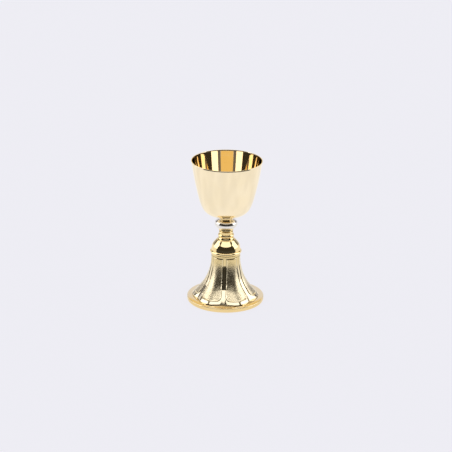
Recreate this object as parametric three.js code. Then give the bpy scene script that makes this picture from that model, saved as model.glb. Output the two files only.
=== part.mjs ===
// Communion chalice: a spun cup on a turned stem above a six-lobed bell foot.
// A tie rod screws into a boss under the cup, runs down through the stem, and a nut
// inside the foot draws the whole stack together.
// Millimetres, +Z up. The origin is the centre of the plane that the foot rests on.

import * as THREE from 'three';

// ---- driving dimensions ----------------------------------------------------

const HEIGHT = 190;
const LIP_RADIUS = 45.5;
const FOOT_RADIUS = 50;

const CUP_WALL = 0.9;
const SHELL_WALL = 1;
const BELL_WALL = 1.2;
const JOINT_GAP = 0.3;

// Heights of the joints up the stem.
const FLANGE_TOP = 6;
const BELL_TOP = 65.2;
const DOME_BOTTOM = 69.6;
const DOME_TOP = 87;
const KNOP_BOTTOM = 98.9;
const BOSS_BOTTOM = 103;
const KNOP_EQUATOR = 105.2;
const KNOP_TOP = 110.3;
const CUP_BOTTOM = 115.2;

// The bell has six lobes with a narrow rib in the valley between each pair.
const LOBE_COUNT = 6;
const LOBE_RADIUS = 43.5;
const CUSP_RADIUS = 38.5;
const RIB_HALF_WIDTH = 2.6;
const RIB_TURN = THREE.MathUtils.degToRad(-94);
const RIB_MAX_ANGLE = THREE.MathUtils.degToRad(8);
const COLUMNS_PER_HALF_LOBE = 5;

// Tie rod and what is threaded over it.
const ROD_RADIUS = 3;
const ROD_BOTTOM = 50.5;
const ROD_TOP = 112;
const THREAD_DEPTH = 0.4;
const THREAD_PITCH = 1.25;
const ROD_CLEARANCE = 3.6;
const CORE_TUBE_RADIUS = 5.2;
const CORE_TUBE_BORE = 3.5;
const COLLAR_BORE = 5.6;
const NUT_ACROSS_FLATS = 10;
const NUT_HEIGHT = 5;

const WIDE_SEGMENTS = 40;
const STEM_SEGMENTS = 28;
const ROD_SEGMENTS = 16;

// ---- materials -------------------------------------------------------------

function metal(color, roughness) {
  return new THREE.MeshStandardMaterial({ color, roughness, metalness: 1 });
}

const polishedGold = () => metal(0xf2d79a, 0.08);
const warmGold = () => metal(0xe3b766, 0.15);
const chasedGold = () => metal(0xd9bd7c, 0.3);
const silver = () => metal(0xd8dade, 0.08);
const plainBrass = () => metal(0xb99a58, 0.35);
const steel = () => metal(0xa5a7aa, 0.35);

// ---- helpers ---------------------------------------------------------------

// Turns an outline of (radius, height) points about the Z axis. The outline runs up the
// outside of the piece, and starts and ends on the axis or closes on itself.
function turned(outline, segments) {
  const geometry = new THREE.LatheGeometry(outline, segments);
  geometry.rotateX(Math.PI / 2);
  return geometry;
}

// The points of a path, with the given number of steps to each curve.
function pointsOf(path, steps) {
  return path.getPoints(steps);
}

// The same line moved sideways by the wall thickness, to the left of its direction.
function offset(points, wall) {
  return points.map((point, i) => {
    const before = points[Math.max(i - 1, 0)];
    const after = points[Math.min(i + 1, points.length - 1)];
    const along = after.clone().sub(before).normalize();
    return new THREE.Vector2(point.x - along.y * wall, point.y + along.x * wall);
  });
}

function closed(points) {
  return [...points, points[0].clone()];
}

// ---- cup -------------------------------------------------------------------

// Round-bottomed bowl whose tapered sides grow steadily steeper towards a plain thin lip.
function cupBowl() {
  const outside = new THREE.Path();
  outside.moveTo(0, CUP_BOTTOM);
  outside.bezierCurveTo(15.3, CUP_BOTTOM, 24.7, 117.4, 30, 125.2);
  outside.bezierCurveTo(31.9, 128, 34.2, 134.2, 35.3, 138.3);
  outside.bezierCurveTo(38.4, 149.8, 42.9, 170, LIP_RADIUS, HEIGHT);
  const outer = pointsOf(outside, 5);
  const inner = offset(outer, CUP_WALL).reverse();
  inner[0].y = HEIGHT;
  inner.at(-1).x = 0;
  return turned([...outer, ...inner], WIDE_SEGMENTS);
}

// Threaded boss soldered under the bowl, with a flange that spreads its load.
function cupBoss() {
  const bottom = BOSS_BOTTOM;
  const top = CUP_BOTTOM - JOINT_GAP;
  const flangeUnderside = top - 1;
  const flangeRadius = 8.5;
  const socketTop = ROD_TOP + 1;
  const bore = ROD_RADIUS + JOINT_GAP;
  const outline = [
    [bore, bottom],
    [CORE_TUBE_RADIUS, bottom],
    [CORE_TUBE_RADIUS, flangeUnderside],
    [flangeRadius, flangeUnderside],
    [flangeRadius, top],
    [0, top],
    [0, socketTop],
    [bore, socketTop],
  ].map(([radius, height]) => new THREE.Vector2(radius, height));
  const fromAxis = [...outline.slice(6), ...outline.slice(0, 6)];
  return turned(fromAxis, ROD_SEGMENTS);
}

// ---- stem ------------------------------------------------------------------

// Waisted collar between the knop and the cup, with a flange under the cup.
function upperCollar() {
  const bottom = KNOP_TOP + JOINT_GAP;
  const top = CUP_BOTTOM - JOINT_GAP;
  const recess = top - 1.3;
  const recessRadius = 8.8;
  const path = new THREE.Path();
  path.moveTo(COLLAR_BORE, bottom);
  path.lineTo(7.7, bottom);
  path.bezierCurveTo(7.1, 111.6, 7.6, 112.2, 10.3, 112.8);
  path.quadraticCurveTo(11, 113, 11, 113.6);
  path.lineTo(11, top);
  path.lineTo(recessRadius, top);
  path.lineTo(recessRadius, recess);
  path.lineTo(COLLAR_BORE, recess);
  path.closePath();
  return turned(pointsOf(path, 4), STEM_SEGMENTS);
}

// Upper half of the hollow knop, rounded at the shoulder and nearly flat on top.
function knopUpperShell() {
  const outside = new THREE.Path();
  outside.moveTo(14.6, KNOP_EQUATOR + JOINT_GAP / 2);
  outside.bezierCurveTo(14.6, 108.2, 12.6, 110, 8.6, KNOP_TOP);
  outside.lineTo(COLLAR_BORE, KNOP_TOP);
  const outer = pointsOf(outside, 5);
  const inner = offset(outer, SHELL_WALL).reverse();
  inner[0].x = COLLAR_BORE;
  inner.at(-1).y = outer[0].y;
  return turned(closed([...outer, ...inner]), STEM_SEGMENTS);
}

// Lower half of the hollow knop, a little deeper than the upper half.
function knopLowerShell() {
  const outside = new THREE.Path();
  outside.moveTo(COLLAR_BORE, KNOP_BOTTOM);
  outside.lineTo(9, KNOP_BOTTOM);
  outside.bezierCurveTo(11.6, 99.3, 14.4, 101.4, 14.6, KNOP_EQUATOR - JOINT_GAP / 2);
  const outer = pointsOf(outside, 5);
  const inner = offset(outer, SHELL_WALL).reverse();
  inner[0].y = outer.at(-1).y;
  inner.at(-1).x = COLLAR_BORE;
  return turned(closed([...outer, ...inner]), STEM_SEGMENTS);
}

// Spool between the dome and the knop: a swelling below, a waist, and a flange under the knop.
function lowerCollar() {
  const bottom = DOME_TOP + JOINT_GAP;
  const top = KNOP_BOTTOM - JOINT_GAP;
  const path = new THREE.Path();
  path.moveTo(COLLAR_BORE, bottom);
  path.lineTo(8.3, bottom);
  path.bezierCurveTo(9.4, 87.5, 10.4, 88.6, 10.4, 90);
  path.bezierCurveTo(10.4, 91.6, 9.2, 92.2, 9.1, 93.4);
  path.bezierCurveTo(9, 94.4, 7.7, 94.4, 7.7, 95.5);
  path.bezierCurveTo(7.7, 96.5, 9.5, 96.4, 9.5, 97.4);
  path.lineTo(9.5, top);
  path.lineTo(COLLAR_BORE, top);
  path.closePath();
  return turned(pointsOf(path, 3), STEM_SEGMENTS);
}

// Spacer tube that carries the clamping load from the dome to the boss.
function stemCoreTube() {
  const bottom = DOME_TOP + JOINT_GAP;
  const top = BOSS_BOTTOM - JOINT_GAP;
  const outline = [
    new THREE.Vector2(CORE_TUBE_BORE, bottom),
    new THREE.Vector2(CORE_TUBE_RADIUS, bottom),
    new THREE.Vector2(CORE_TUBE_RADIUS, top),
    new THREE.Vector2(CORE_TUBE_BORE, top),
  ];
  return turned(closed(outline), ROD_SEGMENTS);
}

// ---- dome ------------------------------------------------------------------

// Hollow dome with full shoulders and a small round collar on top that the stem stands on.
function domeCap() {
  const outside = new THREE.Path();
  outside.moveTo(18.9, DOME_BOTTOM);
  outside.bezierCurveTo(18.3, 74, 17.1, 79, 12.9, 83);
  outside.bezierCurveTo(11.2, 84.5, 10, 84.1, 9.8, 85.4);
  outside.bezierCurveTo(9.7, 86.4, 9.2, DOME_TOP, 8.4, DOME_TOP);
  outside.lineTo(ROD_CLEARANCE, DOME_TOP);
  const outer = pointsOf(outside, 4);
  const hollow = new THREE.Path();
  hollow.moveTo(ROD_CLEARANCE, 83.8);
  hollow.quadraticCurveTo(8.4, 84, 11.2, 82);
  hollow.bezierCurveTo(15.2, 79, 16.9, 74.5, 17.7, DOME_BOTTOM);
  return turned(closed([...outer, ...pointsOf(hollow, 3)]), WIDE_SEGMENTS);
}

// Half-round moulding that covers the joint between the dome and the bell.
function domeBeadRing() {
  const bottom = BELL_TOP + JOINT_GAP;
  const top = DOME_BOTTOM - JOINT_GAP;
  const path = new THREE.Path();
  path.moveTo(16.8, bottom);
  path.lineTo(18.9, bottom);
  path.bezierCurveTo(21.1, bottom, 21.1, top - 0.2, 18.9, top);
  path.lineTo(16.8, top);
  path.closePath();
  return turned(pointsOf(path, 5), WIDE_SEGMENTS);
}

// ---- foot ------------------------------------------------------------------

// The bell's outside from its top plate down to its hem, along a lobe or along a rib.
function bellOutside(waist, hem) {
  const path = new THREE.Path();
  path.moveTo(ROD_CLEARANCE, BELL_TOP);
  path.lineTo(18.4, BELL_TOP);
  path.lineTo(18.8, BELL_TOP - 0.6);
  path.bezierCurveTo(18.7, 57, 18.9, 52, 20.6, 45);
  path.bezierCurveTo(22.4, 37.6, waist.x - 6, 31.5, waist.x, waist.y);
  path.bezierCurveTo(waist.x + 2.6, waist.y - 4.1, hem.x - 4.6, hem.y + 5.2, hem.x, hem.y);
  return pointsOf(path, 4);
}

// A whole section through the wall: down the outside, across the hem, up the inside.
function bellSection(waist, hem) {
  const outer = bellOutside(waist, hem);
  const inner = offset(outer, -BELL_WALL).reverse();
  const hemHeight = FLANGE_TOP + JOINT_GAP;
  inner[0].set(hem.x - 1.6, hemHeight);
  inner.at(-1).x = ROD_CLEARANCE;
  return [...outer, new THREE.Vector2(hem.x, hemHeight), ...inner];
}

// Angles of the columns round one lobe, from its rib edge to edge, at a given radius.
function lobeColumns(radius) {
  const ribAngle = Math.min(RIB_HALF_WIDTH / radius, RIB_MAX_ANGLE);
  const halfLobe = Math.PI / LOBE_COUNT;
  const columns = [{ angle: 0, rise: 0 }];
  for (let k = 1; k <= COLUMNS_PER_HALF_LOBE; k += 1) {
    const share = (k - 1) / (COLUMNS_PER_HALF_LOBE - 1);
    columns.push({
      angle: ribAngle + (halfLobe - ribAngle) * share,
      rise: Math.sin((share * Math.PI) / 2),
    });
  }
  const mirrored = columns.slice(1, -1).reverse().map((column) => ({
    angle: 2 * halfLobe - column.angle,
    rise: column.rise,
  }));
  return [...columns, ...mirrored];
}

// Six-lobed bell, closed above by a plate with a hole for the tie rod and open below.
function footBell() {
  const lobe = bellSection(new THREE.Vector2(30.3, 22.6), new THREE.Vector2(LOBE_RADIUS, 7.1));
  const rib = bellSection(new THREE.Vector2(29.8, 22.6), new THREE.Vector2(CUSP_RADIUS, 7.6));
  const positions = [];
  lobe.forEach((lobePoint, i) => {
    for (let sector = 0; sector < LOBE_COUNT; sector += 1) {
      for (const { angle, rise } of lobeColumns(lobePoint.x)) {
        const point = rib[i].clone().lerp(lobePoint, rise);
        const turn = RIB_TURN + angle + (sector * 2 * Math.PI) / LOBE_COUNT;
        positions.push(point.x * Math.cos(turn), point.x * Math.sin(turn), point.y);
      }
    }
  });
  const columnCount = positions.length / 3 / lobe.length;
  return ringOfRings(positions, lobe.length, columnCount);
}

// Joins closed rings of points into one skin, the last ring back to the first.
function ringOfRings(positions, ringCount, columnCount) {
  const indices = [];
  for (let ring = 0; ring < ringCount; ring += 1) {
    const next = (ring + 1) % ringCount;
    for (let column = 0; column < columnCount; column += 1) {
      const beside = (column + 1) % columnCount;
      const a = ring * columnCount + column;
      const b = ring * columnCount + beside;
      const c = next * columnCount + beside;
      const d = next * columnCount + column;
      indices.push(a, d, b, b, d, c);
    }
  }
  const geometry = new THREE.BufferGeometry();
  geometry.setAttribute('position', new THREE.Float32BufferAttribute(positions, 3));
  geometry.setIndex(indices);
  geometry.computeVertexNormals();
  return geometry;
}

// Broad ring under the bell, hollow below, with a rolled rim that stands on the table.
function baseRing() {
  const path = new THREE.Path();
  path.moveTo(46.4, 0);
  path.lineTo(48.4, 0);
  path.bezierCurveTo(49.6, 0.2, FOOT_RADIUS, 1.4, FOOT_RADIUS, 2.6);
  path.lineTo(49.8, 4.5);
  path.quadraticCurveTo(49.7, 5.2, 49, 5.3);
  path.lineTo(44.6, FLANGE_TOP);
  path.lineTo(33, FLANGE_TOP);
  path.lineTo(33, FLANGE_TOP - BELL_WALL);
  path.lineTo(44, FLANGE_TOP - BELL_WALL);
  path.lineTo(45.8, 3.6);
  path.closePath();
  return turned(pointsOf(path, 5), WIDE_SEGMENTS);
}

// ---- tie rod and fastening -------------------------------------------------

// Outline of a run of thread ridges between two heights.
function threadRidges(from, to) {
  const points = [];
  const turns = Math.floor((to - from) / THREAD_PITCH);
  for (let i = 0; i < turns; i += 1) {
    const start = from + i * THREAD_PITCH;
    points.push(new THREE.Vector2(ROD_RADIUS - THREAD_DEPTH, start));
    points.push(new THREE.Vector2(ROD_RADIUS, start + THREAD_PITCH / 2));
  }
  return points;
}

function tieRod() {
  const outline = [
    new THREE.Vector2(0, ROD_BOTTOM),
    new THREE.Vector2(ROD_RADIUS - THREAD_DEPTH, ROD_BOTTOM),
    ...threadRidges(ROD_BOTTOM + 0.5, ROD_BOTTOM + 11.8),
    new THREE.Vector2(ROD_RADIUS - THREAD_DEPTH / 2, ROD_BOTTOM + 12.5),
    new THREE.Vector2(ROD_RADIUS - THREAD_DEPTH / 2, BOSS_BOTTOM),
    ...threadRidges(BOSS_BOTTOM + 0.5, ROD_TOP - 0.5),
    new THREE.Vector2(ROD_RADIUS - THREAD_DEPTH, ROD_TOP),
    new THREE.Vector2(0, ROD_TOP),
  ];
  return turned(outline, ROD_SEGMENTS);
}

// Dished plate that spreads the nut's pull over the bell's top.
function pressureWasher() {
  const top = BELL_TOP - BELL_WALL - JOINT_GAP;
  const outline = [
    new THREE.Vector2(ROD_CLEARANCE, top - 3.2),
    new THREE.Vector2(7, top - 3.2),
    new THREE.Vector2(9, top - 1.3),
    new THREE.Vector2(13.6, top - 1.3),
    new THREE.Vector2(13.6, top),
    new THREE.Vector2(8.6, top),
    new THREE.Vector2(6.6, top - 1.9),
    new THREE.Vector2(ROD_CLEARANCE, top - 1.9),
  ];
  return turned(closed(outline), STEM_SEGMENTS);
}

// Split spring washer.
function springWasher() {
  const split = 0.16;
  const outline = new THREE.Shape();
  outline.absarc(0, 0, 5.5, split, 2 * Math.PI - split, false);
  outline.absarc(0, 0, CORE_TUBE_BORE, 2 * Math.PI - split * 1.5, split * 1.5, true);
  outline.closePath();
  const options = { depth: 1.6, bevelEnabled: false, curveSegments: 12 };
  return new THREE.ExtrudeGeometry(outline, options);
}

// Hexagon nut, standing on its lower face.
function hexNut() {
  const cornerRadius = NUT_ACROSS_FLATS / 2 / Math.cos(Math.PI / 6);
  const outline = new THREE.Shape();
  for (let corner = 0; corner < 6; corner += 1) {
    const turn = (corner * Math.PI) / 3;
    const x = cornerRadius * Math.cos(turn);
    const y = cornerRadius * Math.sin(turn);
    if (corner === 0) {
      outline.moveTo(x, y);
    } else {
      outline.lineTo(x, y);
    }
  }
  outline.closePath();
  const bore = new THREE.Path();
  bore.absarc(0, 0, ROD_RADIUS + JOINT_GAP, 0, 2 * Math.PI, true);
  outline.holes.push(bore);
  const options = { depth: NUT_HEIGHT, bevelEnabled: false, curveSegments: 12 };
  return new THREE.ExtrudeGeometry(outline, options);
}

// ---- assembly --------------------------------------------------------------

const chalice = new THREE.Group();

function add(name, geometry, material, height = 0) {
  const mesh = new THREE.Mesh(geometry, material);
  mesh.name = name;
  mesh.position.z = height;
  chalice.add(mesh);
}

const washerUnderside = BELL_TOP - BELL_WALL - JOINT_GAP - 3.2;
const springWasherHeight = washerUnderside - JOINT_GAP - 1.6;
const nutHeight = springWasherHeight - JOINT_GAP - NUT_HEIGHT;

add('cup_bowl', cupBowl(), polishedGold());
add('cup_boss', cupBoss(), plainBrass());
add('upper_collar', upperCollar(), warmGold());
add('knop_upper_shell', knopUpperShell(), silver());
add('knop_lower_shell', knopLowerShell(), silver());
add('lower_collar', lowerCollar(), warmGold());
add('stem_core_tube', stemCoreTube(), plainBrass());
add('dome_cap', domeCap(), polishedGold());
add('dome_bead_ring', domeBeadRing(), polishedGold());
add('foot_bell', footBell(), chasedGold());
add('base_ring', baseRing(), warmGold());
add('tie_rod', tieRod(), steel());
add('pressure_washer', pressureWasher(), plainBrass());
add('spring_washer', springWasher(), steel(), springWasherHeight);
add('tie_rod_nut', hexNut(), steel(), nutHeight);

export default chalice;
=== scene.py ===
import math

import bpy
import numpy as np
from mathutils import Matrix, Vector


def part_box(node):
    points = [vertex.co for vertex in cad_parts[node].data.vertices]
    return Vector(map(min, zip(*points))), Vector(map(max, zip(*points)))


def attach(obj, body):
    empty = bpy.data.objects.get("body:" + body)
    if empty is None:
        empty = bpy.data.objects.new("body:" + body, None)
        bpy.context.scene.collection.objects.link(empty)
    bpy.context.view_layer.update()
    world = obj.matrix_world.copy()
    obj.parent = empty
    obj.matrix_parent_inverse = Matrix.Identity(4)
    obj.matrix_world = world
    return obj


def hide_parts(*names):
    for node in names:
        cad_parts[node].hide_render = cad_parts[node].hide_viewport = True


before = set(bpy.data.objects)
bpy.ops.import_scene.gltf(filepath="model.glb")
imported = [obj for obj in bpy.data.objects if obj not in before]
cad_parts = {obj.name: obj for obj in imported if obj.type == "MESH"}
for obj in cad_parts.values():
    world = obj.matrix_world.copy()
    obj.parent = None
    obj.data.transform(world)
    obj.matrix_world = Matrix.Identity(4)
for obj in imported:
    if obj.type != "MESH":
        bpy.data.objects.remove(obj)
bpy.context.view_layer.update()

MM = 0.001


def node_box(name):
    """Bottom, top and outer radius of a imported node, in millimetres."""
    low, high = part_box(name)
    return low.z / MM, high.z / MM, high.x / MM


CUP_BOTTOM, CUP_TOP, LIP_RADIUS = node_box("cup_bowl")
UPPER_BOTTOM, UPPER_TOP, UPPER_RADIUS = node_box("upper_collar")
KNOP_SEAM_TOP, KNOP_TOP, KNOP_RADIUS = node_box("knop_upper_shell")
KNOP_BOTTOM, KNOP_SEAM_BOTTOM, _ = node_box("knop_lower_shell")
LOWER_BOTTOM, LOWER_TOP, LOWER_RADIUS = node_box("lower_collar")
DOME_BOTTOM, DOME_TOP, DOME_RADIUS = node_box("dome_cap")
BEAD_BOTTOM, BEAD_TOP, BEAD_RADIUS = node_box("dome_bead_ring")
BELL_BOTTOM, BELL_TOP, _ = node_box("foot_bell")
BASE_BOTTOM, BASE_TOP, BASE_RADIUS = node_box("base_ring")
ROD_BOTTOM, ROD_TOP, ROD_RADIUS = node_box("tie_rod")
PLATE_BOTTOM, PLATE_TOP, PLATE_RADIUS = node_box("pressure_washer")
SPRING_BOTTOM, SPRING_TOP, _ = node_box("spring_washer")
NUT_BOTTOM, NUT_TOP, _ = node_box("tie_rod_nut")

CUP_WALL = 0.9
SHELL_WALL = 1.0
BELL_WALL = 1.2
COLLAR_BORE = 5.6
ROD_HOLE = 3.6
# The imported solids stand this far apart. Here each side of a joint grows by nearly half of it.
JOINT_GAP = UPPER_BOTTOM - KNOP_TOP
CLOSING = JOINT_GAP * 0.47

LOBE_COUNT = 6
LOBE_ANGLE = 2 * math.pi / LOBE_COUNT
FRONT_RIB = math.radians(-94)
RIB_HALF_WIDTH = 2.2
BELL_ROWS = 150

# The bell's matted panels: how far their borders keep from rib, top and hem, and their corners.
PANEL_SIDE = 2.9
PANEL_SIDE_GROWTH = 0.9
PANEL_HEAD = 3.6
PANEL_FOOT = 5.2
PANEL_CORNER = 5.0

# Relief of the bell's skin, in millimetres. A place is measured inwards from a panel's edge.
BORDER_PLACE = 0.1
BORDER_HEIGHT = 0.36
BORDER_WIDTH = 0.3
GROOVE_PLACE = -0.75
GROOVE_DEPTH = 0.22
GROOVE_WIDTH = 0.25
PANEL_DEPTH = 0.2
PUNCH_HEIGHT = 0.012
UPPER_LINE_DEPTH = 0.18
LOWER_LINE_DEPTH = 0.12

THREAD_PITCH = 1.25
THREAD_DEPTH = 0.4
ROD_TIP_BEVEL = 0.7
NUT_HALF_FLATS = 5.0

# Bends, per millimetre, at which an edge counts as fully worn and a groove as fully darkened by
# tarnish and painted shade.
SHARPEST_EDGE = 1.6
SHARPEST_GROOVE = 1.2

# Segments round the turned pieces, and the radius below which a point counts as on the axis.
CUP_SEGMENTS = 400
WIDE = 256
NARROW = 160
ON_AXIS = 1e-6


# ---- outlines, in millimetres as (radius, height) -----------------------------

def bezier(start, handle_a, handle_b, end, steps):
    """Points of a cubic curve, without its first one."""
    t = np.linspace(0, 1, steps + 1)[1:, None]
    a, b, c, d = (np.array(p, float) for p in (start, handle_a, handle_b, end))
    points = (1 - t) ** 3 * a + 3 * (1 - t) ** 2 * t * b + 3 * (1 - t) * t ** 2 * c + t ** 3 * d
    return [tuple(p) for p in points]


def arc(centre, radius, start, end, steps):
    """Points of an arc between two angles in degrees, both ends included."""
    turn = np.radians(np.linspace(start, end, steps + 1))
    return [(centre[0] + radius * math.cos(a), centre[1] + radius * math.sin(a)) for a in turn]


def offset_line(points, distance):
    """The line moved sideways, to the left of its direction."""
    p = np.array(points, float)
    along = np.gradient(p, axis=0)
    along /= np.linalg.norm(along, axis=1)[:, None]
    return [tuple(q) for q in p + np.stack([-along[:, 1], along[:, 0]], 1) * distance]


def fillet(points, radius, steps=4):
    """A closed outline with each sharp corner rounded by at most the given radius."""
    p = [np.array(q, float) for q in points]
    rounded = []
    for i, corner in enumerate(p):
        back = p[i - 1] - corner
        ahead = p[(i + 1) % len(p)] - corner
        to_back, to_ahead = np.linalg.norm(back), np.linalg.norm(ahead)
        nearly_straight = np.dot(back, ahead) / (to_back * to_ahead) < -0.9
        if nearly_straight:
            rounded.append(tuple(corner))
            continue
        reach = min(radius, 0.45 * to_back, 0.45 * to_ahead)
        a = corner + back / to_back * reach
        b = corner + ahead / to_ahead * reach
        for t in np.linspace(0, 1, steps + 1):
            rounded.append(tuple((1 - t) ** 2 * a + 2 * (1 - t) * t * corner + t ** 2 * b))
    return rounded


# ---- meshes ------------------------------------------------------------------

def outline_bend(points):
    """How sharply a closed outline bends at each point, per millimetre: above 0 at edges."""
    p = np.array(points, float)
    before = p - np.roll(p, 1, axis=0)
    after = np.roll(p, -1, axis=0) - p
    turn = before[:, 0] * after[:, 1] - before[:, 1] * after[:, 0]
    lengths = np.linalg.norm(before, axis=1) * np.linalg.norm(after, axis=1)
    bend = np.arcsin(np.clip(turn / np.maximum(lengths, 1e-9), -1, 1))
    span = np.maximum((np.linalg.norm(before, axis=1) + np.linalg.norm(after, axis=1)) / 2, 1e-3)
    return bend / span


def make_piece(name, vertices, faces, material, node, wear=None, groove=None, crisp=32):
    """A smooth-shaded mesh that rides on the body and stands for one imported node."""
    mesh = bpy.data.meshes.new(name)
    mesh.from_pydata([tuple(v) for v in vertices], [], faces)
    mesh.polygons.foreach_set("use_smooth", [True] * len(mesh.polygons))
    mesh.set_sharp_from_angle(angle=math.radians(crisp))
    for label, values in (("wear", wear), ("groove", groove)):
        layer = mesh.attributes.new(label, "FLOAT", "POINT")
        layer.data.foreach_set("value", np.zeros(len(vertices)) if values is None else values)
    mesh.materials.append(material)
    mesh.update()
    piece = bpy.data.objects.new(name, mesh)
    bpy.context.scene.collection.objects.link(piece)
    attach(piece, "root")
    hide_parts(node)
    return piece


def ring_faces(rings, columns):
    """Quads between closed rings of points, the last ring joined back to the first."""
    faces = []
    for ring in range(rings):
        below = ring * columns
        above = (ring + 1) % rings * columns
        for column in range(columns):
            beside = (column + 1) % columns
            faces.append((below + column, below + beside, above + beside, above + column))
    return faces


def revolve(name, outline, segments, material, node):
    """A turned piece. Its outline runs up the outside, closed on itself or ending on the axis."""
    same_point = 1e-5
    points = [outline[0]]
    points += [b for a, b in zip(outline, outline[1:]) if math.dist(a, b) > same_point]
    if math.dist(points[0], points[-1]) < same_point:
        points.pop()
    bend_along = outline_bend(points)
    turn = np.linspace(0, 2 * math.pi, segments, endpoint=False)
    vertices, bends, rows = [], [], []
    for (radius, height), bend in zip(points, bend_along):
        first = len(vertices)
        if radius < ON_AXIS:
            vertices.append((0, 0, height * MM))
            bends.append(bend)
            rows.append([first] * segments)
            continue
        for angle in turn:
            across, forward = radius * math.cos(angle), radius * math.sin(angle)
            vertices.append((across * MM, forward * MM, height * MM))
        bends.extend([bend] * segments)
        rows.append(list(range(first, first + segments)))
    open_ended = points[0][0] < ON_AXIS and points[-1][0] < ON_AXIS
    faces = []
    for i in range(len(rows) - 1 if open_ended else len(rows)):
        low, high = rows[i], rows[(i + 1) % len(rows)]
        for k in range(segments):
            j = (k + 1) % segments
            corners = list(dict.fromkeys((low[k], low[j], high[j], high[k])))
            if len(corners) > 2:
                faces.append(corners)
    bends = np.array(bends)
    wear = np.clip(bends / SHARPEST_EDGE, 0, 1)
    # Concave bends mark the grooves that the materials darken: painted shade in the creases, with
    # some tarnish.
    groove = np.clip(-bends / SHARPEST_GROOVE, 0, 1)
    return make_piece(name, vertices, faces, material, node, wear, groove)


# ---- materials ---------------------------------------------------------------

def new_material(name):
    """A material with one principled shader wired to its output."""
    material = bpy.data.materials.new(name)
    material.use_nodes = True
    nodes = material.node_tree.nodes
    nodes.clear()
    shader = nodes.new("ShaderNodeBsdfPrincipled")
    output = nodes.new("ShaderNodeOutputMaterial")
    material.node_tree.links.new(shader.outputs["BSDF"], output.inputs["Surface"])
    return material, nodes, material.node_tree.links, shader


def noise(nodes, links, vector, scale, detail, roughness=0.5):
    """Cloudy noise about 0.5, finer as the scale grows."""
    texture = nodes.new("ShaderNodeTexNoise")
    texture.inputs["Scale"].default_value = scale
    texture.inputs["Detail"].default_value = detail
    texture.inputs["Roughness"].default_value = roughness
    links.new(vector, texture.inputs["Vector"])
    return texture.outputs["Fac"]


def remap(nodes, links, value, low, high, to_low, to_high):
    """A value carried smoothly from one span to another, and held at its ends."""
    node = nodes.new("ShaderNodeMapRange")
    node.interpolation_type = "SMOOTHSTEP"
    limits = {"From Min": low, "From Max": high, "To Min": to_low, "To Max": to_high}
    for socket, number in limits.items():
        node.inputs[socket].default_value = number
    links.new(value, node.inputs["Value"])
    return node.outputs["Result"]


def blend_colour(nodes, links, factor, first, second):
    """The first colour where the factor is 0, the second where it is 1."""
    node = nodes.new("ShaderNodeMix")
    node.data_type = "RGBA"
    links.new(factor, node.inputs["Factor"])
    for socket, colour in ((node.inputs["A"], first), (node.inputs["B"], second)):
        if isinstance(colour, tuple):
            socket.default_value = (*colour, 1)
        else:
            links.new(colour, socket)
    return node.outputs["Result"]


def maths(nodes, links, operation, first, second):
    """One sum, product or quotient of two numbers or outputs."""
    node = nodes.new("ShaderNodeMath")
    node.operation = operation
    for socket, value in zip(node.inputs, (first, second)):
        if isinstance(value, (int, float)):
            socket.default_value = value
        else:
            links.new(value, socket)
    return node.outputs["Value"]


def mesh_value(nodes, name):
    """The number that the mesh carries under a name, point by point."""
    node = nodes.new("ShaderNodeAttribute")
    node.attribute_name = name
    return node.outputs["Fac"]


def split_vector(nodes, links, vector):
    """The X, Y and Z outputs of a vector."""
    parts = nodes.new("ShaderNodeSeparateXYZ")
    links.new(vector, parts.inputs["Vector"])
    return parts.outputs


def vector_length(nodes, links, vector):
    """How long a vector is."""
    node = nodes.new("ShaderNodeVectorMath")
    node.operation = "LENGTH"
    links.new(vector, node.inputs[0])
    return node.outputs["Value"]


def turned_coordinates(nodes, links, position):
    """Coordinates (radius, height, 0), in which anything drawn becomes rings about the axis."""
    parts = split_vector(nodes, links, position)
    flat = nodes.new("ShaderNodeCombineXYZ")
    links.new(parts["X"], flat.inputs["X"])
    links.new(parts["Y"], flat.inputs["Y"])
    joined = nodes.new("ShaderNodeCombineXYZ")
    links.new(vector_length(nodes, links, flat.outputs["Vector"]), joined.inputs["X"])
    links.new(parts["Z"], joined.inputs["Y"])
    return joined.outputs["Vector"]


def groove_shade_and_tarnish(nodes, links, colour, dark):
    """Darkens a colour in the mesh's grooves: painted shade where a crease would lie in shadow, with
    the polish and tarnish that gather there.
    """
    amount = maths(nodes, links, "MULTIPLY", mesh_value(nodes, "groove"), 0.85)
    return blend_colour(nodes, links, amount, colour, dark)


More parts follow.
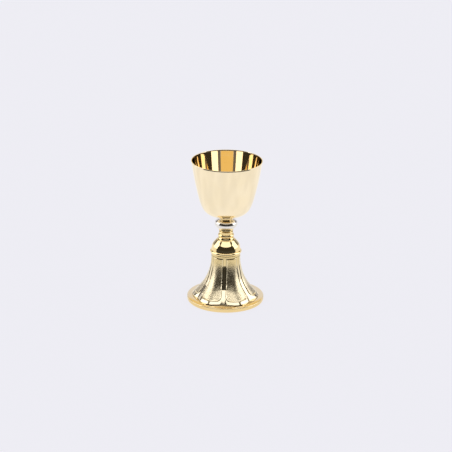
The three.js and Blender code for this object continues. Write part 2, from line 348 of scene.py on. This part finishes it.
def polished_metal(name, tint, deep, worn, roughness, haze, rings=0.06, top=None):
    """Plated, polished metal: two close tints in soft clouds, hazy patches, fine turning rings.

    top, when given, is another tint and the heights in metres between which it takes over."""
    material, nodes, links, shader = new_material(name)
    position = nodes.new("ShaderNodeTexCoord").outputs["Object"]
    clouds = remap(nodes, links, noise(nodes, links, position, 38, 4), 0.35, 0.65, 0, 1)
    colour = blend_colour(nodes, links, clouds, tint, deep)
    if top:
        top_tint, low, high = top
        height = split_vector(nodes, links, position)["Z"]
        above = remap(nodes, links, height, low, high, 0, 1)
        colour = blend_colour(nodes, links, above, colour, top_tint)
    grain = remap(nodes, links, noise(nodes, links, position, 900, 3), 0.4, 0.6, 0.3, 1)
    worn_edge = maths(nodes, links, "MULTIPLY", mesh_value(nodes, "wear"), grain)
    colour = blend_colour(nodes, links, worn_edge, colour, worn)
    # Grooves darkened: painted shade in the creases, with some tarnish.
    colour = groove_shade_and_tarnish(nodes, links, colour, (0.14, 0.10, 0.045))
    links.new(colour, shader.inputs["Base Color"])
    smears = noise(nodes, links, position, 55, 6, 0.62)
    patches = remap(nodes, links, smears, 0.42, 0.72, roughness, haze)
    smooth_rings = turned_coordinates(nodes, links, position)
    lines = noise(nodes, links, smooth_rings, 2600, 2)
    streaks = remap(nodes, links, lines, 0.35, 0.7, 0, 0.02)
    links.new(maths(nodes, links, "ADD", patches, streaks), shader.inputs["Roughness"])
    bump = nodes.new("ShaderNodeBump")
    bump.inputs["Strength"].default_value = rings
    bump.inputs["Distance"].default_value = 0.00002
    links.new(lines, bump.inputs["Height"])
    links.new(bump.outputs["Normal"], shader.inputs["Normal"])
    shader.inputs["Metallic"].default_value = 1
    return material


# The cup's tint is paler than the other golds: painted light, standing in for the strong light that
# washes the cup out.
CUP_GOLD = polished_metal(
    "cup_gold", (0.965, 0.83, 0.60), (0.955, 0.815, 0.575), (0.98, 0.88, 0.68), 0.02, 0.05)
WARM_GOLD = polished_metal(
    "warm_gold", (0.98, 0.76, 0.385), (0.96, 0.73, 0.35), (0.99, 0.83, 0.52), 0.04, 0.09)
DOME_GOLD = polished_metal(
    "dome_gold", (0.985, 0.785, 0.42), (0.97, 0.76, 0.39), (0.99, 0.85, 0.56), 0.03, 0.07)
# Painted shade: the tint is darkened to stand for the dim floor that the rim reflects beside the
# foot. From 5.2 to 5.7 mm up, a paler tint takes over on the top.
BASE_GOLD_SHADED_RIM = polished_metal(
    "base_gold_shaded_rim", (0.85, 0.64, 0.31), (0.83, 0.62, 0.29), (0.90, 0.75, 0.48), 0.07, 0.15,
    top=((0.86, 0.71, 0.46), 0.0052, 0.0057))
# The silver is darkened a little as painted shade, for the dim surroundings that the knop's
# underside reflects.
SILVER = polished_metal(
    "silver_plate", (0.83, 0.79, 0.745), (0.79, 0.755, 0.715), (0.93, 0.90, 0.87), 0.03, 0.07)
BRASS = polished_metal(
    "plain_brass", (0.62, 0.44, 0.20), (0.50, 0.34, 0.14), (0.75, 0.56, 0.28), 0.22, 0.42, 0.25)
STEEL = polished_metal(
    "zinc_steel", (0.55, 0.56, 0.58), (0.44, 0.45, 0.47), (0.70, 0.70, 0.71), 0.24, 0.40, 0.25)


def chased_metal():
    """The bell's finish: bright where smooth, and matted by small punch marks inside the panels."""
    material, nodes, links, shader = new_material("chased_gold")
    position = nodes.new("ShaderNodeTexCoord").outputs["Object"]
    inside = mesh_value(nodes, "panel")
    height = split_vector(nodes, links, position)["Z"]
    clouds = remap(nodes, links, noise(nodes, links, position, 45, 5), 0.35, 0.65, 0, 1)
    colour = blend_colour(nodes, links, clouds, (0.96, 0.83, 0.58), (0.945, 0.81, 0.55))
    upper = remap(nodes, links, height, 0.042, 0.057, 0, 1)
    colour = blend_colour(nodes, links, upper, colour, (0.82, 0.65, 0.335))
    marks = nodes.new("ShaderNodeTexVoronoi")
    marks.inputs["Scale"].default_value = 950
    links.new(position, marks.inputs["Vector"])
    dimple = remap(nodes, links, marks.outputs["Distance"], 0.05, 0.6, 1, 0)
    # Panels darkened, more towards the bottom: tarnish in the punch marks, and painted shade for the
    # dark room that the panels reflect.
    panel_tarnish_and_shade = maths(nodes, links, "MULTIPLY", remap(nodes, links, dimple, 0, 1, 0.25, 1), inside)
    darker_below = remap(nodes, links, height, 0.040, 0.054, 0.8, 0.1)
    tarnish_and_shade = maths(nodes, links, "MULTIPLY", panel_tarnish_and_shade, darker_below)
    colour = blend_colour(nodes, links, tarnish_and_shade, colour, (0.42, 0.35, 0.22))
    colour = blend_colour(nodes, links, mesh_value(nodes, "wear"), colour, (0.97, 0.87, 0.64))
    # The turned lines and the groove beside each panel border darkened: painted shade, with some
    # tarnish.
    colour = groove_shade_and_tarnish(nodes, links, colour, (0.20, 0.155, 0.08))
    links.new(colour, shader.inputs["Base Color"])
    bright = remap(nodes, links, noise(nodes, links, position, 60, 6, 0.6), 0.4, 0.7, 0.06, 0.12)
    matted = maths(nodes, links, "MULTIPLY", inside, 0.15)
    links.new(maths(nodes, links, "ADD", bright, matted), shader.inputs["Roughness"])
    relief = nodes.new("ShaderNodeBump")
    relief.inputs["Distance"].default_value = 0.00006
    relief.inputs["Strength"].default_value = 1
    grain = maths(nodes, links, "ADD", dimple, noise(nodes, links, position, 1500, 2))
    links.new(maths(nodes, links, "MULTIPLY", grain, inside), relief.inputs["Height"])
    links.new(relief.outputs["Normal"], shader.inputs["Normal"])
    shader.inputs["Metallic"].default_value = 1
    return material


CHASED_GOLD = chased_metal()


# ---- cup ---------------------------------------------------------------------

def cup():
    """Tapered bowl with a rounded bottom and a plain thin lip."""
    lip = 0.22
    base = (0, CUP_BOTTOM)
    outer = [base]
    outer += bezier(base, (15.3, CUP_BOTTOM), (24.7, 117.4), (30, 125.2), 30)
    outer += bezier((30, 125.2), (31.9, 128), (34.2, 134.2), (35.3, 138.3), 18)
    outer += bezier((35.3, 138.3), (38.4, 149.8), (42.9, 170), (LIP_RADIUS, CUP_TOP - lip), 40)
    inner = offset_line(outer, CUP_WALL)
    inner[0] = (0, inner[0][1])
    inner_edge = inner[-1][0] + 0.02
    over = arc((LIP_RADIUS - lip, CUP_TOP - lip), lip, 8, 90, 5)
    over += arc((inner_edge + lip, CUP_TOP - lip), lip, 90, 172, 5)
    outline = outer + over + inner[:-1][::-1]
    return revolve("cup", outline, CUP_SEGMENTS, CUP_GOLD, "cup_bowl")


# ---- stem --------------------------------------------------------------------

def upper_collar():
    """Waisted collar between the knop and the cup, with a flange under the cup."""
    bottom = UPPER_BOTTOM - CLOSING
    top = UPPER_TOP + CLOSING
    rim = UPPER_RADIUS
    outline = [(COLLAR_BORE, bottom), (7.3, bottom)]
    outline += bezier((7.3, bottom), (7.35, 111.6), (7.8, 112.2), (rim - 0.7, 112.8), 24)
    outline += bezier((rim - 0.7, 112.8), (rim - 0.2, 112.9), (rim, 113.1), (rim, 113.6), 6)
    outline += [(rim, top - 0.1), (8.8, top), (8.8, top - 1.5), (COLLAR_BORE, top - 1.5)]
    return revolve("collar_upper", fillet(outline, 0.3), NARROW, WARM_GOLD, "upper_collar")


def knop_half(name, outer, node):
    """One spun shell of the knop, given the line of its outside from bottom to top."""
    inner = offset_line(outer, SHELL_WALL)[::-1]
    inner = [(max(radius, COLLAR_BORE), height) for radius, height in inner]
    return revolve(name, fillet(outer + inner, 0.12, 3), WIDE, SILVER, node)


def knop():
    """Flattened hollow ball in two shells that meet in a hairline seam."""
    seam_top = KNOP_SEAM_TOP - CLOSING
    seam_bottom = KNOP_SEAM_BOTTOM + CLOSING
    top = [(KNOP_RADIUS, seam_top)]
    top += bezier(top[0], (14.6, 108.2), (13.5, 109.4), (10.2, 110), 36)
    top += bezier((10.2, 109.9), (9.5, 110.1), (8.7, KNOP_TOP), (7.9, KNOP_TOP), 6)
    top += [(COLLAR_BORE, KNOP_TOP)]
    bottom = [(COLLAR_BORE, KNOP_BOTTOM), (9, KNOP_BOTTOM)]
    bottom += bezier((9, KNOP_BOTTOM), (11.6, 99.3), (14.4, 101.4), (KNOP_RADIUS, seam_bottom), 36)
    knop_half("knop_upper", top, "knop_upper_shell")
    knop_half("knop_lower", bottom, "knop_lower_shell")


def lower_collar():
    """Spool between the dome and the knop: a swelling, a waist, and a flange under the knop."""
    bottom = LOWER_BOTTOM - CLOSING
    top = LOWER_TOP + CLOSING
    wide, waist, flange = LOWER_RADIUS, 7.7, 9.5
    outline = [(COLLAR_BORE, bottom), (8.3, bottom)]
    outline += bezier((8.3, bottom), (9.6, 87.3), (wide, 88.1), (wide, 89.1), 18)
    outline += bezier((wide, 89.1), (wide, 90), (9.9, 90.9), (9.2, 91.5), 14)
    outline += [(9, 91.6)]
    outline += bezier((9, 91.6), (9.05, 92.4), (9.1, 93.1), (9.15, 93.9), 3)
    outline += bezier((9.15, 93.9), (9.15, 94.4), (8.8, 94.6), (8.3, 94.8), 8)
    outline += bezier((8.3, 94.8), (8, 94.95), (7.85, 95.2), (waist, 96.1), 8)
    outline += bezier((waist, 96.1), (waist, 96.7), (9, 96.5), (flange + 0.15, 96.9), 12)
    outline += [(flange - 0.02, top), (COLLAR_BORE, top)]
    return revolve("collar_lower", fillet(outline, 0.2), NARROW, WARM_GOLD, "lower_collar")


def dome():
    """Hollow dome with full shoulders and a small round collar on top."""
    bottom = DOME_BOTTOM - CLOSING
    top = DOME_TOP + CLOSING
    outline = [(DOME_RADIUS, bottom)]
    outline += bezier((DOME_RADIUS, bottom), (18.35, 72.8), (18.25, 75.3), (17.1, 77.2), 30)
    outline += bezier((17.1, 77.2), (15.9, 79.2), (13.9, 81.3), (12.4, 83.1), 24)
    outline += bezier((12.4, 83.1), (11.4, 84.3), (10.5, 84.1), (10.2, 85.2), 14)
    outline += bezier((10.2, 85.2), (10, 86.3), (9.4, top), (8.5, top), 12)
    outline += [(ROD_HOLE, top), (ROD_HOLE, 83.8)]
    outline += bezier((ROD_HOLE, 83.8), (7, 84.0), (9.4, 83.2), (11.2, 82), 6)
    outline += bezier((11.2, 82), (15.2, 79), (16.9, 74.5), (17.7, bottom), 14)
    return revolve("dome", fillet(outline, 0.15), WIDE, DOME_GOLD, "dome_cap")


def bead():
    """Rounded moulding round the foot of the dome."""
    bottom = BEAD_BOTTOM - CLOSING
    top = BEAD_TOP + CLOSING
    middle = (bottom + top) / 2
    reach = (top - bottom) / 2
    outline = [(16.8, bottom), (BEAD_RADIUS - reach, bottom)]
    outline += arc((BEAD_RADIUS - reach, middle), reach, -84, 84, 24)
    outline += [(BEAD_RADIUS - reach, top), (16.8, top)]
    return revolve("dome_bead", outline, WIDE, DOME_GOLD, "dome_bead_ring")


# ---- foot --------------------------------------------------------------------

def bell_line(waist, flare, hem, steps):
    """The bell's outside from its top edge down to the hem, with the handles of its last curve."""
    shoulder = (18.8, BELL_TOP - 0.6)
    line = [shoulder]
    line += bezier(shoulder, (18.7, 57), (18.9, 52), (20.6, 45), steps)
    line += bezier((20.6, 45), (22.4, 37.6), (waist[0] - 6, 31.5), waist, steps)
    line += bezier(waist, *flare, hem, steps)
    return np.array(line)


def smoothstep(low, high, value):
    t = np.clip((value - low) / (high - low), 0, 1)
    return t * t * (3 - 2 * t)


def resample(line, count):
    """Points at equal distances along a line."""
    steps = np.linalg.norm(np.diff(line, axis=0), axis=1)
    travelled = np.concatenate([[0], np.cumsum(steps)])
    wanted = np.linspace(0, travelled[-1], count)
    return np.stack([np.interp(wanted, travelled, line[:, k]) for k in (0, 1)], 1), wanted


def panel_distance(across, along, length):
    """Distance in millimetres inside the edge of a matted panel, negative outside it.

    across is the distance round the bell from the nearest rib, along the distance down
    from the bell's top, and length the whole way down to the hem."""
    side = across - (PANEL_SIDE + PANEL_SIDE_GROWTH * smoothstep(20, 50, along))
    head = along - PANEL_HEAD
    foot = length - PANEL_FOOT - along
    from_side = np.maximum(PANEL_CORNER - side, 0)
    from_foot = np.maximum(PANEL_CORNER - foot, 0)
    beyond = PANEL_CORNER - np.hypot(from_side, from_foot)
    near_corner = (side < PANEL_CORNER) & (foot < PANEL_CORNER)
    edge = np.where(near_corner, beyond, np.minimum(side, foot))
    return np.minimum(edge, head)


def bell_skin():
    """Rings of points down the bell's outside, how deep each lies in a panel, and how far down."""
    lobe_flare = ((32.9, 18.5), (38.9, 12.3))
    rib_flare = ((31.5, 18.9), (36.2, 12.6))
    lobe_line, travelled = resample(bell_line((30.3, 22.6), lobe_flare, (43.5, 7.1), 60), BELL_ROWS)
    rib_line, _ = resample(bell_line((28.6, 22.6), rib_flare, (39.7, 7.6), 60), BELL_ROWS)
    # Distances from the rib across half a lobe: close together by the rib, then even.
    near = np.array([0, 0.5, 1.0, 1.5, 1.9, 2.2, 2.5, 2.8, 3.1, 3.4, 3.7, 4.0])
    far_count = 30
    rings, depths = [], []
    for lobe_point, rib_point, along in zip(lobe_line, rib_line, travelled):
        half_lobe = lobe_point[0] * LOBE_ANGLE / 2
        across_near = near * min(1, half_lobe / 2 / near[-1])
        across_far = np.linspace(across_near[-1], half_lobe, far_count + 1)[1:]
        across = np.concatenate([across_near, across_far])
        share = np.clip((across - RIB_HALF_WIDTH) / (half_lobe - RIB_HALF_WIDTH), 0, 1)
        rise = np.sin(share * math.pi / 2)
        point = rib_point[None, :] + (lobe_point - rib_point)[None, :] * rise[:, None]
        inside = panel_distance(across, np.full_like(across, along), travelled[-1])
        angle = across / lobe_point[0]
        lobe_angles = np.concatenate([angle, LOBE_ANGLE - angle[-2:0:-1]])
        lobe_points = np.concatenate([point, point[-2:0:-1]])
        turns = [lobe_angles + FRONT_RIB + k * LOBE_ANGLE for k in range(LOBE_COUNT)]
        turn = np.concatenate(turns)
        radius, height = np.tile(lobe_points, (LOBE_COUNT, 1)).T
        rings.append(np.stack([radius * np.cos(turn), radius * np.sin(turn), height], 1))
        depths.append(np.tile(np.concatenate([inside, inside[-2:0:-1]]), LOBE_COUNT))
    return np.array(rings), np.array(depths), travelled[:, None]


def ridge(distance, place, width):
    """1 at the given place, fading smoothly to 0 on either side of it."""
    return np.exp(-((distance - place) / width) ** 2)


def bell():
    """Six-lobed bell: smooth ribs in the valleys, and panels with a raised border between them."""
    grid, depth, down = bell_skin()

    # Normals of the smooth skin, pointing outwards.
    along_rows = np.gradient(grid, axis=0)
    around = np.roll(grid, -1, axis=1) - np.roll(grid, 1, axis=1)
    normal = np.cross(around, -along_rows)
    normal /= np.linalg.norm(normal, axis=2)[..., None]

    border = ridge(depth, BORDER_PLACE, BORDER_WIDTH)
    groove = ridge(depth, GROOVE_PLACE, GROOVE_WIDTH)
    sunk = smoothstep(0.3, 0.8, depth)
    matted = smoothstep(0.5, 1.0, depth)
    punched = np.random.default_rng(7).normal(0, 1, depth.shape)
    punched = punched + (np.roll(punched, 1, 1) + np.roll(punched, 1, 0)) * 0.4
    upper_line = ridge(down, 1.6, 0.22) * UPPER_LINE_DEPTH
    lower_line = ridge(down, 2.5, 0.18) * LOWER_LINE_DEPTH
    turned_lines = upper_line + lower_line
    relief = border * BORDER_HEIGHT + punched * PUNCH_HEIGHT * matted
    relief = relief - groove * GROOVE_DEPTH - sunk * PANEL_DEPTH - turned_lines
    grid = grid + normal * relief[..., None]

    # The hem drops straight to the base ring, and the inside follows the outside.
    count = grid.shape[1]
    hem_height = BELL_BOTTOM - CLOSING
    hem = grid[-1].copy()
    hem[:, 2] = hem_height
    inner_rows = list(range(len(grid) - 1, 0, -6)) + [0]
    inner = grid[inner_rows] - normal[inner_rows] * (BELL_WALL + relief[inner_rows][..., None])
    inner[0, :, 2] = hem_height
    turn = np.arctan2(grid[0, :, 1], grid[0, :, 0])

    def level(radius, height):
        ring = [radius * np.cos(turn), radius * np.sin(turn), np.full(count, height)]
        return np.stack(ring, 1)[None]

    top = BELL_TOP + CLOSING
    under_top = BELL_TOP - BELL_WALL
    above = [level(ROD_HOLE, top), level(18.3, top), level(18.65, top - 0.15)]
    below = [hem[None], inner, level(16.8, under_top), level(ROD_HOLE, under_top)]
    shell = np.concatenate([*above, grid, *below])
    vertices = (shell * MM).reshape(-1, 3)
    faces = [face[::-1] for face in ring_faces(len(shell), count)]

    def whole_shell(values):
        before = np.zeros((len(above), count))
        after = np.zeros((len(shell) - len(above) - len(grid), count))
        return np.concatenate([before, values, after]).ravel()

    wear = whole_shell(border * 0.8)
    # The groove mask: the line outside each panel border and the turned lines, darkened as painted
    # shade with some tarnish.
    tarnish_and_shade = ridge(depth, -0.8, 0.4) + np.clip(turned_lines / UPPER_LINE_DEPTH, 0, 1)
    piece = make_piece(
        "bell", vertices, faces, CHASED_GOLD, "foot_bell",
        wear, whole_shell(tarnish_and_shade), crisp=40)
    layer = piece.data.attributes.new("panel", "FLOAT", "POINT")
    layer.data.foreach_set("value", whole_shell(matted))


def base_ring():
    """Broad flat ring under the bell with a rolled rim, hollow below."""
    rim = BASE_RADIUS
    outline = [(46.4, BASE_BOTTOM), (48.4, BASE_BOTTOM)]
    outline += bezier((48.4, BASE_BOTTOM), (49.6, 0.15), (rim, 1.4), (rim, 2.6), 16)
    outline += bezier((rim, 2.6), (rim, 3.4), (rim - 0.1, 4.2), (rim - 0.15, 4.9), 6)
    outline += bezier((rim - 0.15, 4.9), (rim - 0.2, 5.4), (rim - 0.45, 5.62), (rim - 1, 5.68), 8)
    outline += [(44.6, BASE_TOP), (33, BASE_TOP), (33, BASE_TOP - BELL_WALL)]
    outline += [(44, BASE_TOP - BELL_WALL), (45.8, 3.6)]
    return revolve("base", fillet(outline, 0.3), WIDE, BASE_GOLD_SHADED_RIM, "base_ring")


# ---- tie rod and fastening -----------------------------------------------------

def level_ring(radius, turn, height):
    """Points of one ring in metres, given each one's radius, angle and height."""
    return list(zip(radius * np.cos(turn) * MM, radius * np.sin(turn) * MM, height * MM))


def tie_rod():
    """Threaded rod: a real helix at both ends, plain between, with bevelled tips."""
    columns = 48
    step = THREAD_PITCH / 8
    plain_from, plain_to = ROD_BOTTOM + 12, KNOP_TOP
    heights = np.concatenate([
        np.arange(ROD_BOTTOM, plain_from, step),
        np.linspace(plain_from, plain_to, 4),
        np.arange(plain_to + step, ROD_TOP, step),
        [ROD_TOP],
    ])
    turn = np.linspace(0, 2 * math.pi, columns, endpoint=False)
    vertices = [(0, 0, ROD_BOTTOM * MM)]
    for height in heights:
        phase = (height / THREAD_PITCH - turn / (2 * math.pi)) % 1
        cut = THREAD_DEPTH * np.abs(2 * phase - 1)
        above_start = smoothstep(plain_from - 1, plain_from, height)
        plain = above_start * (1 - smoothstep(plain_to, plain_to + 1, height))
        from_end = min(height - ROD_BOTTOM, ROD_TOP - height)
        tip = max(0, ROD_TIP_BEVEL - from_end) * 0.9
        radius = ROD_RADIUS - np.maximum(cut * (1 - plain) + plain * THREAD_DEPTH / 2, tip)
        vertices += level_ring(radius, turn, np.full(columns, height))
    vertices.append((0, 0, ROD_TOP * MM))
    faces = []
    for column in range(columns):
        beside = (column + 1) % columns
        faces.append((0, 1 + beside, 1 + column))
        last = 1 + (len(heights) - 1) * columns
        faces.append((last + column, last + beside, len(vertices) - 1))
        for ring in range(len(heights) - 1):
            low, high = 1 + ring * columns, 1 + (ring + 1) * columns
            faces.append((low + column, low + beside, high + beside, high + column))
    return make_piece("rod", vertices, faces, STEEL, "tie_rod", crisp=50)


def clamp_plate():
    """Dished washer that bears on the underside of the bell's top."""
    top = PLATE_TOP + CLOSING
    outline = [
        (ROD_HOLE, PLATE_BOTTOM), (7, PLATE_BOTTOM), (9, top - 1.3), (PLATE_RADIUS, top - 1.3),
        (PLATE_RADIUS, top), (8.6, top), (6.6, PLATE_BOTTOM + 1.3), (ROD_HOLE, PLATE_BOTTOM + 1.3),
    ]
    return revolve("clamp_plate", fillet(outline, 0.35), NARROW, BRASS, "pressure_washer")


def spring_washer():
    """Split ring of square wire, its two ends slightly out of line."""
    inner, outer = 3.5, 5.5
    split = 0.16
    spring = 0.12
    steps = 96
    low, high = spring, SPRING_TOP - SPRING_BOTTOM - spring
    corners = fillet([(inner, low), (outer, low), (outer, high), (inner, high)], 0.25, 3)
    radii, heights = np.array(corners).T
    turn = np.linspace(split, 2 * math.pi - split, steps)
    vertices = []
    for i, angle in enumerate(turn):
        lift = SPRING_BOTTOM + spring * (2 * i / (steps - 1) - 1)
        vertices += level_ring(radii, angle, lift + heights)
    side = len(corners)
    faces = [tuple(range(side))[::-1], tuple(range((steps - 1) * side, steps * side))]
    for i in range(steps - 1):
        for k in range(side):
            a, b = i * side + k, i * side + (k + 1) % side
            faces.append((a, b, b + side, a + side))
    faces = [face[::-1] for face in faces]
    return make_piece("lock_washer", vertices, faces, STEEL, "spring_washer", crisp=40)


def nut():
    """Hexagon nut with its corners turned off; its threaded bore is drawn as a plain round hole."""
    columns = 120
    bore = np.full(columns, ROD_RADIUS + 0.15)
    mouth = bore + 0.6
    turn = np.linspace(0, 2 * math.pi, columns, endpoint=False)
    hexagon = NUT_HALF_FLATS / np.cos(turn % (math.pi / 3) - math.pi / 6)
    face = np.full(columns, NUT_HALF_FLATS - 0.1)
    bevel = 0.06 + (hexagon - NUT_HALF_FLATS) * math.tan(math.radians(30))
    level = np.ones(columns)
    rings = [
        (bore, level * (NUT_BOTTOM + 0.7)),
        (mouth, level * NUT_BOTTOM),
        (face, level * NUT_BOTTOM),
        (hexagon, NUT_BOTTOM + bevel),
        (hexagon, NUT_TOP - bevel),
        (face, level * NUT_TOP),
        (mouth, level * NUT_TOP),
        (bore, level * (NUT_TOP - 0.7)),
    ]
    vertices = []
    for radius, height in rings:
        vertices += level_ring(radius, turn, height)
    faces = ring_faces(len(rings), columns)
    return make_piece("nut", vertices, faces, STEEL, "tie_rod_nut", crisp=28)


cup()
upper_collar()
knop()
lower_collar()
dome()
bead()
bell()
base_ring()
tie_rod()
clamp_plate()
spring_washer()
nut()

# These two are out of sight inside the others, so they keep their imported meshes.
for node in ("cup_boss", "stem_core_tube"):
    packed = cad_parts[node]
    packed.data.materials.clear()
    packed.data.materials.append(BRASS)


# ---- studio ------------------------------------------------------------------

PAPER = (0.863, 0.858, 0.910)
WHITE = (1.0, 1.0, 1.0)
DARK = (0.04, 0.036, 0.03)
DUSK = (0.12, 0.11, 0.09)
SHADE = (0.16, 0.16, 0.19)
GREY = (0.42, 0.42, 0.46)
AMBER = (0.93, 0.72, 0.33)
SOFTBOX = 1.8
CEILING = 1.4

CARD_CENTRE = 0.09
FLOOR_RADIUS = 9
SHEEN_RADIUS = 1.2
ROUND = np.linspace(0, 2 * math.pi, 96, endpoint=False)

CAMERA_ELEVATION = math.radians(20.25)
CAMERA_DISTANCE = 2.225
CAMERA_TARGET = Vector((-0.0002, 0, 0.1009))
CAMERA_ROLL = math.radians(0.7)
CAMERA_LENS = 137.2
CAMERA_SENSOR = 36


def glow_material(name, colour, strength):
    """A plain glow, worn only by cards that show in reflections and nowhere else."""
    material = bpy.data.materials.new(name)
    material.use_nodes = True
    nodes = material.node_tree.nodes
    nodes.clear()
    emission = nodes.new("ShaderNodeEmission")
    emission.inputs["Color"].default_value = (*colour, 1)
    emission.inputs["Strength"].default_value = strength
    output = nodes.new("ShaderNodeOutputMaterial")
    material.node_tree.links.new(emission.outputs["Emission"], output.inputs["Surface"])
    return material


def disc(name, radius, material):
    """A flat round sheet at the height of the table."""
    mesh = bpy.data.meshes.new(name)
    edge = [(radius * math.cos(a), radius * math.sin(a), 0) for a in ROUND]
    mesh.from_pydata(edge, [], [tuple(range(len(edge)))])
    mesh.materials.append(material)
    sheet = bpy.data.objects.new(name, mesh)
    bpy.context.scene.collection.objects.link(sheet)
    return sheet


def floor():
    """Pale table that glows almost evenly, so that the chalice leaves only a faint shadow."""
    own_light, albedo = 0.92, 0.08
    material, _, _, shader = new_material("floor_paper")
    shader.inputs["Base Color"].default_value = (*[c * albedo for c in PAPER], 1)
    shader.inputs["Roughness"].default_value = 1
    shader.inputs["Specular IOR Level"].default_value = 0
    shader.inputs["Emission Color"].default_value = (*PAPER, 1)
    shader.inputs["Emission Strength"].default_value = own_light
    disc("floor", FLOOR_RADIUS, material)


def mirror_only(card):
    """Leaves a piece of the studio to be seen in reflections and nowhere else."""
    card.visible_camera = False
    card.visible_diffuse = False
    card.visible_transmission = False
    card.visible_volume_scatter = False
    card.visible_shadow = False


def mirror_card(name, distance, azimuths, elevations, colour, strength):
    """A curved card about the chalice. Azimuth 0 is the front, elevation 0 the horizon."""
    columns, rows = 33, 17
    across = np.radians(np.linspace(*azimuths, columns))
    upward = np.radians(np.linspace(*elevations, rows))
    vertices, faces = [], []
    for up in upward:
        reach = distance * math.cos(up)
        height = CARD_CENTRE + distance * math.sin(up)
        vertices += [(reach * math.sin(side), -reach * math.cos(side), height) for side in across]
    for row in range(rows - 1):
        for column in range(columns - 1):
            a = row * columns + column
            faces.append((a, a + 1, a + columns + 1, a + columns))
    mesh = bpy.data.meshes.new(name)
    mesh.from_pydata(vertices, [], faces)
    mesh.materials.append(glow_material(name, colour, strength))
    card = bpy.data.objects.new(name, mesh)
    bpy.context.scene.collection.objects.link(card)
    mirror_only(card)


def card_pair(name, distance, azimuths, elevations, colour, strength):
    """The same card on the left and on the right."""
    nearer, further = azimuths
    mirrored = (-further, -nearer)
    mirror_card("left_" + name, distance, mirrored, elevations, colour, strength)
    mirror_card("right_" + name, distance, azimuths, elevations, colour, strength)


def table_sheen():
    """How the table looks in reflections: bright near the foot, dim in front further off."""
    bright, dim = 0.96, 0.05
    edge_of_front = math.cos(math.radians(80))
    material = bpy.data.materials.new("table_sheen")
    material.use_nodes = True
    nodes, links = material.node_tree.nodes, material.node_tree.links
    nodes.clear()
    position = nodes.new("ShaderNodeTexCoord").outputs["Object"]
    distance = vector_length(nodes, links, position)
    forward = maths(nodes, links, "MULTIPLY", split_vector(nodes, links, position)["Y"], -1)
    facing = maths(nodes, links, "DIVIDE", forward, distance)
    in_front = remap(nodes, links, facing, edge_of_front - 0.15, edge_of_front + 0.15, 0, 1)
    far = remap(nodes, links, distance, 0.36, 0.385, 0, 1)
    shade = maths(nodes, links, "MULTIPLY", far, in_front)
    emission = nodes.new("ShaderNodeEmission")
    uneven = remap(nodes, links, noise(nodes, links, position, 7, 1), 0.3, 0.7, 0.95, 1.04)
    strength = maths(nodes, links, "MULTIPLY", remap(nodes, links, shade, 0, 1, bright, dim), uneven)
    links.new(strength, emission.inputs["Strength"])
    emission.inputs["Color"].default_value = (1.0, 0.995, 0.99, 1)
    output = nodes.new("ShaderNodeOutputMaterial")
    links.new(emission.outputs["Emission"], output.inputs["Surface"])
    sheet = disc("table_sheen", SHEEN_RADIUS, material)
    sheet.location.z = 0.0001
    mirror_only(sheet)


def studio():
    """Even pale surroundings, and the cards that give the metal something to reflect."""
    world = bpy.data.worlds.new("studio")
    bpy.context.scene.world = world
    world.use_nodes = True
    background = world.node_tree.nodes["Background"]
    background.inputs["Color"].default_value = (*PAPER, 1)
    background.inputs["Strength"].default_value = 1
    # The front of the room is dark.
    mirror_card("dark_room", 1.2, (-84, 84), (-4.3, 44), DARK, 1)
    # Two soft panels at the sides, with a dim strip and a grey low corner behind each.
    card_pair("softbox", 1.1, (73, 118), (-2, 44), WHITE, SOFTBOX)
    card_pair("gap", 1.25, (118, 137), (9, 47), SHADE, 1)
    card_pair("corner", 1.22, (137, 158), (-4, 13), GREY, 1)
    # A gold-coloured wall behind, and two strips close behind the cup, from its rim up.
    mirror_card("amber_wall", 1.24, (137, 223), (22, 47), AMBER, 1)
    mirror_card("amber_band", 0.24, (137, 223), (33.4, 42), AMBER, 1)
    mirror_card("back_band", 0.24, (137, 223), (24.6, 33.4), DARK, 1)
    # A bright ceiling with a dim gap at each side.
    card_pair("ceiling_gap", 1.22, (62, 92), (44, 60), DUSK, 1)
    mirror_card("overhead", 1.3, (-180, 180), (44, 90), WHITE, CEILING)


def camera():
    """The viewpoint: about twenty degrees above the horizon, two metres back, a long lens."""
    data = bpy.data.cameras.new("camera")
    data.sensor_width = CAMERA_SENSOR
    data.lens = CAMERA_LENS
    data.clip_start = 0.01
    data.clip_end = 50
    view = bpy.data.objects.new("camera", data)
    bpy.context.scene.collection.objects.link(view)
    back = Vector((0, -math.cos(CAMERA_ELEVATION), math.sin(CAMERA_ELEVATION)))
    view.location = CAMERA_TARGET + back * CAMERA_DISTANCE
    aim = (CAMERA_TARGET - view.location).to_track_quat("-Z", "Y").to_matrix().to_4x4()
    roll = Matrix.Rotation(CAMERA_ROLL, 4, "Z")
    view.matrix_world = Matrix.Translation(view.location) @ aim @ roll
    bpy.context.scene.camera = view


floor()
table_sheen()
studio()
camera()
bpy.context.scene.view_settings.view_transform = "Standard"
